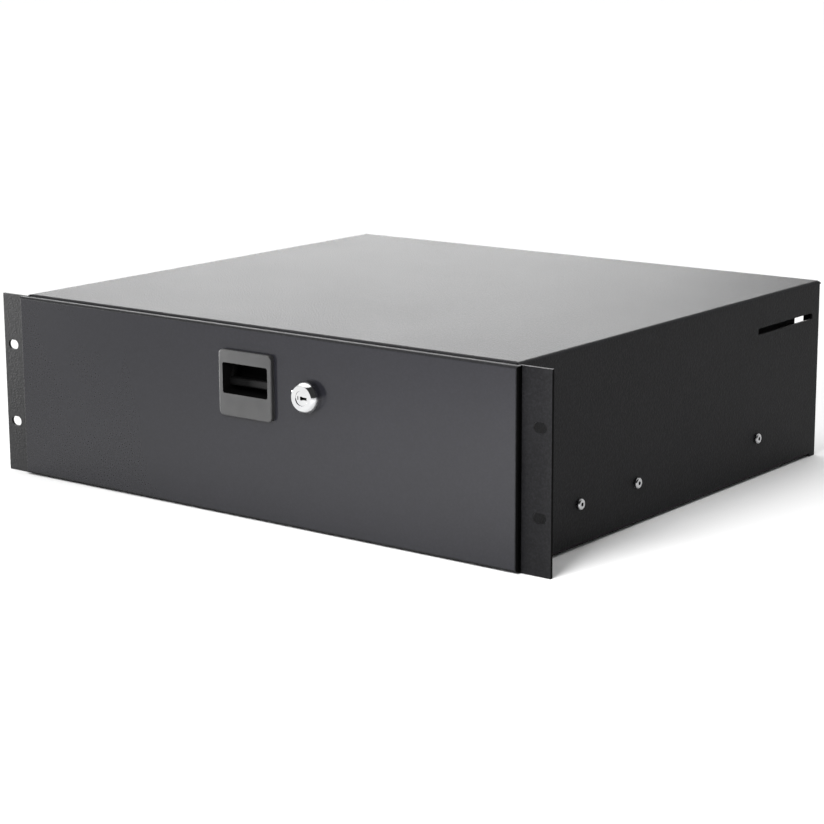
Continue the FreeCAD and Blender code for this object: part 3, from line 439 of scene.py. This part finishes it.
# ---- Cam lock -----------------------------------------------------------
# A zinc die casting, polished and plated with bright chrome. The plug turns
# in it with the key and carries the cam behind the drawer front.
# Chrome mirrors the white room, with dark bands where it turns to the dark side.
chrome = polished_steel("bright_chrome_plate_on_zinc_casting", "b4b5b8", roughness=0.06,
                        blotch_mm=9.0, lighter="cdcdcc")
for name in ("lock_barrel", "lock_plug"):
    wear(name, chrome)
    ease_edges(name, radius_mm=0.12)
for name in ("lock_nut", "lock_cam"):
    wear(name, screw_zinc)
    ease_edges(name, radius_mm=0.12)
cap_low, cap_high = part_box("lock_barrel")
plug_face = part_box("lock_plug")[0].y
key_slot_reach = 4.8 * MM
key_slot_mouth = 0.1 * MM
key_slot_deep = 7.0 * MM


def in_key_slot(face):
    """Whether a face of the plug lies in its key slot."""
    across = math.hypot(face.center.x - (cap_low.x + cap_high.x) / 2,
                        face.center.z - (cap_low.z + cap_high.z) / 2)
    deep = face.center.y - plug_face
    return across < key_slot_reach and key_slot_mouth < deep < key_slot_deep


# The key slot is painted dark, as painted shade inside it.
second_finish("lock_plug", socket_painted_shade, in_key_slot)


# ---- Floor, light and camera --------------------------------------------
# The object stands on a wide pale floor in a white room. Soft lamps give the
# coats their sheen, and a high soft sun lights the floor.
floor_radius = 40.0
floor_mesh = bpy.data.meshes.new("floor")
disc = bmesh.new()
bmesh.ops.create_circle(disc, cap_ends=True, segments=96, radius=floor_radius)
bmesh.ops.translate(disc, vec=(0, 0, cad_box[0].z), verts=disc.verts)
disc.to_mesh(floor_mesh)
disc.free()
floor = bpy.data.objects.new("floor", floor_mesh)
bpy.context.scene.collection.objects.link(floor)
pale = bpy.data.materials.new("pale_floor")
pale.use_nodes = True
floor_shader = pale.node_tree.nodes["Principled BSDF"]
floor_shader.inputs["Base Color"].default_value = (0.9, 0.9, 0.9, 1)
floor_shader.inputs["Roughness"].default_value = 0.9
floor_shader.inputs["Specular IOR Level"].default_value = 0.0
floor_mesh.materials.append(pale)

world = bpy.data.worlds.new("studio")
bpy.context.scene.world = world
world.use_nodes = True
room = world.node_tree
# The room is white on the left and behind, and darker to the front right.
dark_side = Vector((0.74, -0.56, 0.37))
dusk_starts = 0.05
dusk_ends = 0.6
bright_level = 1.1
dark_level = 0.06
facing = add_node(room, "ShaderNodeTexCoord").outputs["Generated"]
toward_dark = add_node(room, "ShaderNodeVectorMath", {"operation": "DOT_PRODUCT"},
                       {0: facing, 1: dark_side})
level = add_node(room, "ShaderNodeMapRange", {"interpolation_type": "SMOOTHSTEP"},
                 {"Value": toward_dark.outputs["Value"], "From Min": dusk_starts,
                  "From Max": dusk_ends, "To Min": bright_level, "To Max": dark_level})
room.links.new(level.outputs["Result"], room.nodes["Background"].inputs["Strength"])
room.nodes["Background"].inputs["Color"].default_value = (1, 1, 1, 1)
bpy.context.scene.view_settings.view_transform = "Standard"

middle = (cad_box[0] + cad_box[1]) / 2


def soft_light(name, place, size, watts):
    """A square area light that faces the middle of the object."""
    data = bpy.data.lights.new(name, "AREA")
    data.shape = "SQUARE"
    data.size = size
    data.energy = watts
    lamp = bpy.data.objects.new(name, data)
    lamp.location = place
    lamp.rotation_mode = "QUATERNION"
    lamp.rotation_quaternion = (middle - Vector(place)).to_track_quat("-Z", "Y")
    bpy.context.scene.collection.objects.link(lamp)
    return lamp


# The rear and left lamps give the coats their sheen and no other light. The front one
# brightens the floor near the object and gives no sheen of its own.
rear_lamp_place = (-2.0, 2.45, 0.95)
left_lamp_place = (-1.3, -0.36, -0.02)
floor_lamp_place = (0.24, -0.46, 0.36)
for lamp in (soft_light("rear", rear_lamp_place, size=1.9, watts=95),
             soft_light("left", left_lamp_place, size=0.2, watts=38)):
    lamp.visible_diffuse = False
    lamp.visible_camera = False
floor_light = soft_light("floor_front", floor_lamp_place, size=0.3, watts=6)
floor_light.visible_glossy = False
floor_light.visible_camera = False
sun_travel = Vector((0.35, -0.05, -0.93))
sun_data = bpy.data.lights.new("high_soft_sun", "SUN")
sun_data.energy = 1.75
sun_data.angle = math.radians(70)
sun = bpy.data.objects.new("high_soft_sun", sun_data)
sun.rotation_mode = "QUATERNION"
sun.rotation_quaternion = sun_travel.to_track_quat("-Z", "Y")
bpy.context.scene.collection.objects.link(sun)

camera_place = Vector((0.9958, -1.1259, 0.3370))
camera_yaw = math.radians(37.474)
camera_down = math.radians(12.395)
camera_roll = math.radians(-0.243)
sensor_mm = 36.0
focal_mm = 99.65
look = Vector((-math.sin(camera_yaw) * math.cos(camera_down),
               math.cos(camera_yaw) * math.cos(camera_down), -math.sin(camera_down)))
right = Vector((math.cos(camera_yaw), math.sin(camera_yaw), 0))
up = right.cross(look)
rolled_right = right * math.cos(camera_roll) + up * math.sin(camera_roll)
rolled_up = up * math.cos(camera_roll) - right * math.sin(camera_roll)
camera_data = bpy.data.cameras.new("camera")
camera_data.sensor_width = sensor_mm
camera_data.lens = focal_mm
camera = bpy.data.objects.new("camera", camera_data)
axes = Matrix((rolled_right, rolled_up, -look)).transposed().to_4x4()
camera.matrix_world = Matrix.Translation(camera_place) @ axes
bpy.context.scene.collection.objects.link(camera)
bpy.context.scene.camera = camera
